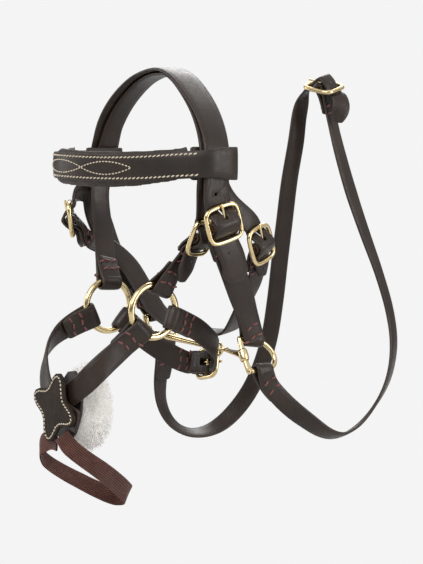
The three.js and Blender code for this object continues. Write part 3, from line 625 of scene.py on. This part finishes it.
def hole_shade_discs(buckle, node, places):
    """Dark discs on the billet in a buckle where its punched holes are, at these distances from its tongue's
    hinge: painted shade standing for the holes' insides.
    """
    at, axis = joint_place(buckle + "_tongue_pivot")
    corners = np.array([v.co - at for v in frame["nodes"][buckle + "_buckle_frame"].data.vertices])
    out = Vector(np.linalg.svd(corners - corners.mean(axis=0), full_matrices=False)[2][2])
    pin = [v.co - at for v in frame["nodes"][buckle + "_buckle_tongue"].data.vertices]
    pin = sum(pin, Vector()) / len(pin)
    out *= math.copysign(1, pin.dot(out))
    pull = (pin - out * pin.dot(out)).normalized()
    tree = surface_of(pieces[node])
    parts = []
    for distance in places:
        hit = cast(tree, at + pull * (distance * MM), out)
        if hit is None:
            continue
        side = hit[1].orthogonal().normalized()
        up = hit[1].cross(side)
        rings = []
        for height, size in ((-0.1, 1), (0.04, 0.97)):
            rings.append((hit[0] + hit[1] * (height * MM), side, up, HOLE * MM * size))
        parts.append(tube(rings, 16))
    if parts:
        name = buckle + "_hole_shade"
        place(new_object(name, mesh_from(name, *merge(parts)), PAINTED_HOLE_SHADE), node, replaces=False)


for buckle, node, places in (
    ("cheek", "crown_strap", (-3.8, -15)), ("throat_near", "crown_strap", (-3.8, -13)),
    ("throat_far", "crown_strap", (-3.8, -13)), ("noseband", "noseband_headstrap", (-3.8, 13, -13)),
    ("jaw", "jaw_strap_near", (-3.8, -13)), ("rein", "rein_far", (-4.2, 16)),
):
    hole_shade_discs(buckle, node, places)


# ---------------------------------------------------------------- browband
def browband_front():
    """The front run of the strip: stations from the near loop to the far loop."""
    stations = smooth_stations(rails("browband_strip"), 1.0 * MM)
    front = [s for s in stations if s[0].y < -19 * MM and abs(s[2].y) > 0.12]
    fixed = []
    for centre, side, out, half in front:
        if side.z < 0:
            side = -side
        if out.y > 0:
            out = -out
        fixed.append((centre, side, out, half))
    fixed.sort(key=lambda s: -s[0].x)
    return fixed


def browband_seams():
    """Two long seams near the edges and two pointed loops that meet at the middle."""
    front = browband_front()
    tree = surface_of(pieces["browband_strip"])

    def on_strip(position, height):
        i = min(len(front) - 1, max(0, position))
        low = int(i)
        high = min(len(front) - 1, low + 1)
        t = i - low
        a, b = front[low], front[high]
        centre = a[0].lerp(b[0], t) + a[1].lerp(b[1], t) * height
        out = a[2].lerp(b[2], t).normalized()
        hit = cast(tree, centre, out)
        return hit if hit else (centre + out * 0.8 * MM, out)

    half = STRIP_HALF * MM - SEAM_INSET * MM
    last = len(front) - 1
    for label, height in (("upper", half), ("lower", -half)):
        path = [on_strip(i, height) for i in range(0, last + 1)]
        name = "browband_seam_" + label
        seam(name, path, SEAM_PITCH * MM, THREAD * MM, 0.78, CREAM, "browband_strip", SLANT)
    middle = min(range(len(front)), key=lambda i: abs(front[i][0].x - LOOP_MIDDLE * MM))
    for label, way in (("near", -1), ("far", 1)):
        for edge, sign in (("upper", 1), ("lower", -1)):
            path = []
            for k in range(LOOP_STEPS + 1):
                height = sign * LOOP_HEIGHT * MM * math.sin(math.pi * k / LOOP_STEPS) ** 0.85
                path.append(on_strip(middle + way * k, height))
            name = "browband_loop_" + label + "_" + edge
            seam(name, path, SEAM_PITCH * MM * 0.85, THREAD * MM * 0.9, 0.66, CREAM, "browband_strip")


def swept(stations, count, shape):
    """Sweeps a closed section of (sideways, outward) points along the stations."""
    points = []
    for i, (centre, side, out, half) in enumerate(stations):
        share = i / (len(stations) - 1)
        for across, height in shape(share, half):
            points.append(centre + side * across + out * height)
    faces = []
    for k in range(len(stations) - 1):
        for i in range(count):
            j = (i + 1) % count
            a = k * count
            faces.append((a + i, a + j, a + count + j, a + count + i))
    faces.append(tuple(reversed(range(count))))
    last = (len(stations) - 1) * count
    faces.append(tuple(last + i for i in range(count)))
    return points, faces


def inflate(piece, voxel, cap, scale):
    """Cloth with pressure and no gravity swells the pad; no point moves further than the cap."""
    piece.data.transform(Matrix.Scale(scale, 4))
    bpy.context.view_layer.objects.active = piece
    remesh = piece.modifiers.new("remesh", "REMESH")
    remesh.mode = "VOXEL"
    remesh.voxel_size = voxel * scale
    applied(piece)
    rest = [v.co.copy() for v in piece.data.vertices]
    cloth = piece.modifiers.new("cloth", "CLOTH")
    cloth.settings.use_pressure = True
    cloth.settings.uniform_pressure_force = 4
    cloth.settings.effector_weights.gravity = 0
    cloth.settings.quality = 6
    cloth.point_cache.frame_end = SIM_FRAMES
    for step in range(1, SIM_FRAMES + 1):
        bpy.context.scene.frame_set(step)
    graph = bpy.context.evaluated_depsgraph_get()
    moved = [v.co.copy() for v in piece.evaluated_get(graph).data.vertices]
    piece.modifiers.clear()
    bpy.context.scene.frame_set(1)
    limit = cap * scale
    for v, a, b in zip(piece.data.vertices, rest, moved):
        shift = b - a
        if shift.length > limit:
            shift = shift.normalized() * limit
        v.co = a + shift
    piece.data.transform(Matrix.Scale(1 / scale, 4))
    return piece


def run_on(stations, steps, length):
    """The same stations with straight ones added at both ends."""
    first = (stations[0][0] - stations[1][0]).normalized() * length
    last = (stations[-1][0] - stations[-2][0]).normalized() * length
    before = [(stations[0][0] + first * k, *stations[0][1:]) for k in range(steps, 0, -1)]
    after = [(stations[-1][0] + last * k, *stations[-1][1:]) for k in range(1, steps + 1)]
    return before + stations + after


def browband_pad():
    """The padded backing: a soft rolled edge above and below the strip."""
    stations = smooth_stations(rails("browband_pad"), PAD_STEP * MM)
    stations = run_on(stations, PAD_EXTRA, PAD_STEP * MM)
    count = 20
    upward = 1 if stations[len(stations) // 2][1].z > 0 else -1

    def shape(share, half):
        near_end = min(1.0, 0.16 + 6 * min(share, 1 - share))
        upper = PAD_ABOVE * MM
        fullness = math.sin(math.pi * share) ** 0.6
        lower = (PAD_BELOW_ENDS + (PAD_BELOW - PAD_BELOW_ENDS) * fullness) * MM
        swell = PAD_SWELL * MM * near_end ** 0.5
        ring = []
        for i in range(count):
            angle = 2 * math.pi * i / count
            c, s = math.cos(angle), math.sin(angle)
            reach = upper if c * upward > 0 else lower
            ring.append((reach * math.copysign(abs(c) ** 0.8, c), swell * math.copysign(abs(s) ** 0.75, s)))
        return ring

    name = "browband_pad_looks"
    piece = new_object(name, mesh_from(name, *swept(stations, count, shape)), SOFT)
    inflate(piece, PAD_VOXEL * MM, PAD_GIVE * MM, SIM_SCALE)
    evening = piece.modifiers.new("evening", "SMOOTH")
    evening.factor = 0.5
    evening.iterations = 6
    applied(piece)
    for v in piece.data.vertices:
        ripple = noise.noise(v.co * 160) * 0.22 + noise.noise(v.co * 420) * 0.1
        v.co += v.normal * ripple * MM
    smoothing = piece.modifiers.new("smoothing", "SUBSURF")
    smoothing.levels = 1
    smoothing.render_levels = 1
    applied(piece)
    piece.data.shade_smooth()
    place(piece, "browband_pad")


browband_seams()
browband_pad()


# ---------------------------------------------------------------- nose piece
def rounded_plate(node, material, width):
    """A cut leather shape with rounded edges."""
    body = bmesh.new()
    body.from_mesh(frame["nodes"][node].data)
    bmesh.ops.remove_doubles(body, verts=body.verts, dist=0.002 * MM)
    bmesh.ops.dissolve_limit(body, angle_limit=0.02, verts=body.verts, edges=body.edges)
    rim = [e for e in body.edges if 60 < math.degrees(e.calc_face_angle(0)) < 120]
    corners = []
    for edge in rim:
        a, b = (v.co.copy() for v in edge.verts)
        corners.extend(a.lerp(b, i / 6) for i in range(7))
    bmesh.ops.bevel(body, geom=rim, offset=width, segments=3, profile=0.6, affect="EDGES")
    bmesh.ops.triangulate(body, faces=[f for f in body.faces if len(f.verts) > 4])
    mesh = bpy.data.meshes.new(node + "_looks")
    body.to_mesh(mesh)
    body.free()
    piece = new_object(node + "_looks", mesh, material)
    edge_distance(piece.data, corners)
    mesh.set_sharp_from_angle(angle=math.radians(50))
    pieces[node] = piece
    return place(piece, node)


def patch_rim():
    """The patch's front outline, in order."""
    body = bmesh.new()
    body.from_mesh(frame["nodes"]["cross_patch"].data)
    bmesh.ops.remove_doubles(body, verts=body.verts, dist=0.002 * MM)
    bmesh.ops.dissolve_limit(body, angle_limit=0.02, verts=body.verts, edges=body.edges)
    front = max(body.faces, key=lambda f: -f.normal.y * f.calc_area())
    points = [v.co.copy() for v in front.verts]
    out = front.normal.copy()
    body.free()
    return points, out


def patch_seam():
    """A row of stitches just inside the patch's outline."""
    points, out = patch_rim()
    count = len(points)
    path = []
    for i in range(count + 1):
        before, here, after = (points[(i + k) % count] for k in (-1, 0, 1))
        run = (after - before).normalized()
        inward = out.cross(run).normalized()
        path.append((here + inward * PATCH_SEAM_INSET * MM, out))
    seam("cross_patch_seam", path, PATCH_PITCH * MM, THREAD * MM * 1.05, 0.7, CREAM, "cross_patch", 0.2)


rounded_plate("cross_patch", MATT, 0.45 * MM)
rounded_plate("cross_backing", SOFT, 0.6 * MM)
patch_seam()


def fleece():
    """A pile of fine curved tufts on a soft core, the same in each run because both seeds are set."""
    low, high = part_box("fleece_pad")
    centre = (low + high) / 2
    half = (high - low) / 2
    core = Vector(a * b for a, b in zip(half, CORE_SHARE))
    random.seed(SEED)
    noise.seed_set(SEED)
    body = bmesh.new()
    bmesh.ops.create_icosphere(body, subdivisions=4, radius=1)
    for v in body.verts:
        direction = v.co.normalized()
        uneven = 1 + 0.05 * noise.noise(direction * 4)
        v.co = centre + Vector(a * b for a, b in zip(direction, core)) * uneven
    mesh = bpy.data.meshes.new("fleece_core")
    body.to_mesh(mesh)
    body.free()
    piece = new_object("fleece_core", mesh, FLEECE)
    place(piece, "fleece_pad")
    parts = []
    golden = math.pi * (3 - math.sqrt(5))
    for k in range(TUFTS):
        y = 1 - 2 * (k + 0.5) / TUFTS
        flat = math.sqrt(1 - y * y)
        angle = golden * k
        direction = Vector((flat * math.cos(angle), y, flat * math.sin(angle)))
        if direction.y < -0.8:
            continue
        root = centre + Vector(a * b * 0.97 for a, b in zip(direction, core))
        normal = Vector(a / b for a, b in zip(direction, core)).normalized()
        clump = noise.noise_vector(direction * 7)
        stray = Vector((random.uniform(-0.4, 0.4) for _ in range(3)))
        lean = clump * 1.2 + stray + Vector((0, 0, -0.15))
        length = (TUFT_LENGTH + 2.4 * random.random() + 1.6 * noise.noise(direction * 3)) * MM
        if direction.y < -0.3:
            length *= 0.6
        rings = []
        at = root
        heading = normal
        for size in TUFT_SIZES:
            side = heading.orthogonal().normalized()
            rings.append((at, side, heading.cross(side).normalized(), size * MM))
            heading = (heading + lean * 0.32).normalized()
            at = at + heading * (length / 3)
        parts.append(tube(rings, 3))
    tufts = new_object("fleece_tufts", mesh_from("fleece_tufts", *merge(parts)), FLEECE)
    place(tufts, "fleece_pad", replaces=False)


fleece()


def elastic_loop():
    """Ribbed elastic: rounded ribs run along the band on both faces."""
    stations = smooth_stations(rails("elastic_chin_loop"), 1.0 * MM)
    steps = RIBS * 4
    count = 2 * (steps + 1)

    def rib_at(t):
        return abs(math.sin(math.pi * RIBS * t)) ** 0.6

    def shape(share, half):
        face = []
        for i in range(steps + 1):
            t = i / steps
            rib = rib_at(t)
            edge = 1 - abs(2 * t - 1) ** 8
            face.append((half * (2 * t - 1), (WEB_HALF + WEB_RIB * rib) * MM * (0.45 + 0.55 * edge)))
        return [(a, h) for a, h in face] + [(a, -h) for a, h in reversed(face)]

    points, faces = swept(stations, count, shape)
    mesh = mesh_from("elastic_loop_looks", points, faces)
    once = [rib_at(i / steps) for i in range(steps + 1)]
    ribs = mesh.attributes.new("rib", "FLOAT", "POINT")
    ribs.data.foreach_set("value", (once + once[::-1]) * len(stations))
    place(new_object("elastic_loop_looks", mesh, WEBBING), "elastic_chin_loop")


elastic_loop()


# ---------------------------------------------------------------- brass
def ring_piece(node):
    """A round ring of polished wire."""
    low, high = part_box(node)
    centre = (low + high) / 2
    wire = (high.x - low.x) / 2
    radius = (high.z - low.z) / 2 - wire
    rings = []
    for i in range(RING_STEPS):
        angle = 2 * math.pi * i / RING_STEPS
        out = Vector((0, math.cos(angle), math.sin(angle)))
        rings.append((centre + out * radius, Vector((1, 0, 0)), out, wire))
    points, faces = tube(rings, RING_SIDES)
    faces = faces[:-2]
    last = (RING_STEPS - 1) * RING_SIDES
    for i in range(RING_SIDES):
        j = (i + 1) % RING_SIDES
        faces.append((last + i, last + j, j, i))
    piece = new_object(node + "_looks", mesh_from(node + "_looks", points, faces), BRASS)
    place(piece, node)


def wire_piece(node, radius):
    """A cast brass fitting: its CAD solid, swelled by what the smoothing takes off, then smoothed."""
    body = quad_mesh(node)
    mesh = bpy.data.meshes.new(node + "_looks")
    body.normal_update()
    moves = [(v, v.normal * (radius * WIRE_SWELL)) for v in body.verts]
    for v, shift in moves:
        v.co += shift
    body.to_mesh(mesh)
    body.free()
    piece = new_object(node + "_looks", mesh, BRASS)
    rounding = piece.modifiers.new("rounding", "SUBSURF")
    rounding.levels = 2
    rounding.render_levels = 2
    applied(piece)
    place(piece, node)


ring_piece("ring_near")
ring_piece("ring_far")
for node in frame["nodes"]:
    for kind, wire_radius in WIRE_RADIUS.items():
        if kind in node:
            wire_piece(node, wire_radius * MM)


# ---------------------------------------------------------------- stage
def floor():
    """A plain pale floor: as even as the backdrop to the camera, and still light from below."""
    low, _ = CAD_BOX
    s = Shader("pale_floor")
    s.set(Base_Color=(0.6, 0.6, 0.6, 1), Roughness=0.9, Specular_IOR_Level=0.1)
    seen = s.add("ShaderNodeEmission", {"Color": (BACKGROUND, BACKGROUND, BACKGROUND, 1), "Strength": 1.0})
    ray = s.add("ShaderNodeLightPath").outputs["Is Camera Ray"]
    mix = s.add("ShaderNodeMixShader", {0: ray, 1: s.surface.outputs[0], 2: seen.outputs[0]})
    s.put(s.tree.nodes["Material Output"].inputs["Surface"], mix.outputs[0])
    size = 30
    z = low.z - 1.2 * MM
    corners = [(-size, -size, z), (size, -size, z), (size, size, z), (-size, size, z)]
    thing = new_object("floor", mesh_from("floor", corners, [(0, 1, 2, 3)]), s.material)


def area_light(name, place_at, aim, size, watts):
    """A soft rectangular lamp that faces the point it is aimed at."""
    light = bpy.data.lights.new(name, "AREA")
    light.shape = "RECTANGLE"
    light.size, light.size_y = size
    light.energy = watts
    thing = bpy.data.objects.new(name, light)
    thing.location = place_at
    thing.rotation_mode = "QUATERNION"
    thing.rotation_quaternion = (Vector(aim) - Vector(place_at)).to_track_quat("-Z", "Y")
    bpy.context.scene.collection.objects.link(thing)


def world():
    """White to the camera; for reflections a bright room with a dark band round the horizon."""
    made = bpy.data.worlds.new("studio")
    made.use_nodes = True
    tree = made.node_tree
    tree.nodes.clear()
    add = tree.nodes.new
    out = add("ShaderNodeOutputWorld")
    path = add("ShaderNodeLightPath")
    mix = add("ShaderNodeMixShader")
    seen = add("ShaderNodeBackground")
    seen.inputs["Color"].default_value = (BACKGROUND, BACKGROUND, BACKGROUND, 1)
    room = add("ShaderNodeBackground")
    position = add("ShaderNodeTexCoord")
    split = add("ShaderNodeSeparateXYZ")
    ramp = add("ShaderNodeValToRGB")
    stops = ((0.0, 0.5), (0.4, 0.6), (0.49, 0.15), (0.56, 0.22), (0.66, 0.8), (0.8, 1.0), (1.0, 0.9))
    ramp.color_ramp.elements[0].position = stops[0][0]
    ramp.color_ramp.elements[0].color = (stops[0][1],) * 3 + (1,)
    ramp.color_ramp.elements[1].position = stops[-1][0]
    ramp.color_ramp.elements[1].color = (stops[-1][1],) * 3 + (1,)
    for at, value in stops[1:-1]:
        element = ramp.color_ramp.elements.new(at)
        element.color = (value, value, value, 1)
    scale = add("ShaderNodeMath")
    scale.operation = "MULTIPLY_ADD"
    scale.inputs[1].default_value = 0.5
    scale.inputs[2].default_value = 0.5
    link = tree.links.new
    link(position.outputs["Generated"], split.inputs[0])
    link(split.outputs["Z"], scale.inputs[0])
    link(scale.outputs[0], ramp.inputs["Fac"])
    link(ramp.outputs["Color"], room.inputs["Color"])
    room.inputs["Strength"].default_value = 0.75
    link(path.outputs["Is Camera Ray"], mix.inputs[0])
    link(room.outputs[0], mix.inputs[1])
    link(seen.outputs[0], mix.inputs[2])
    link(mix.outputs[0], out.inputs["Surface"])
    bpy.context.scene.world = made


def camera():
    """The viewing angle: from the near side and in front, a little above the middle."""
    data = bpy.data.cameras.new("camera")
    data.lens = VIEW_LENS
    data.sensor_width = 36
    data.clip_start = 0.01
    data.clip_end = 100
    thing = bpy.data.objects.new("camera", data)
    target = Vector(VIEW_TARGET) * MM
    azimuth = math.radians(VIEW_AZIMUTH)
    elevation = math.radians(VIEW_ELEVATION)
    level = math.cos(elevation)
    back = Vector((math.sin(azimuth) * level, -math.cos(azimuth) * level, math.sin(elevation)))
    thing.location = target + back * VIEW_DISTANCE * MM
    thing.rotation_mode = "QUATERNION"
    thing.rotation_quaternion = (-back).to_track_quat("-Z", "Y")
    bpy.context.scene.collection.objects.link(thing)
    bpy.context.scene.camera = thing


floor()
area_light("key", (0.5, -0.9, 0.75), (0, 0, -0.1), (0.9, 0.9), 9)
area_light("side", (1.1, 0.6, 0.2), (0, 0, -0.1), (0.4, 0.9), 6)
area_light("back", (-0.7, 0.6, 0.6), (0, 0, -0.08), (0.6, 0.6), 4.5)
area_light("front", (-0.9, -0.72, 0.1), (0, 0, -0.06), (0.3, 0.7), 2.5)
world()
camera()
bpy.context.scene.view_settings.view_transform = "Standard"
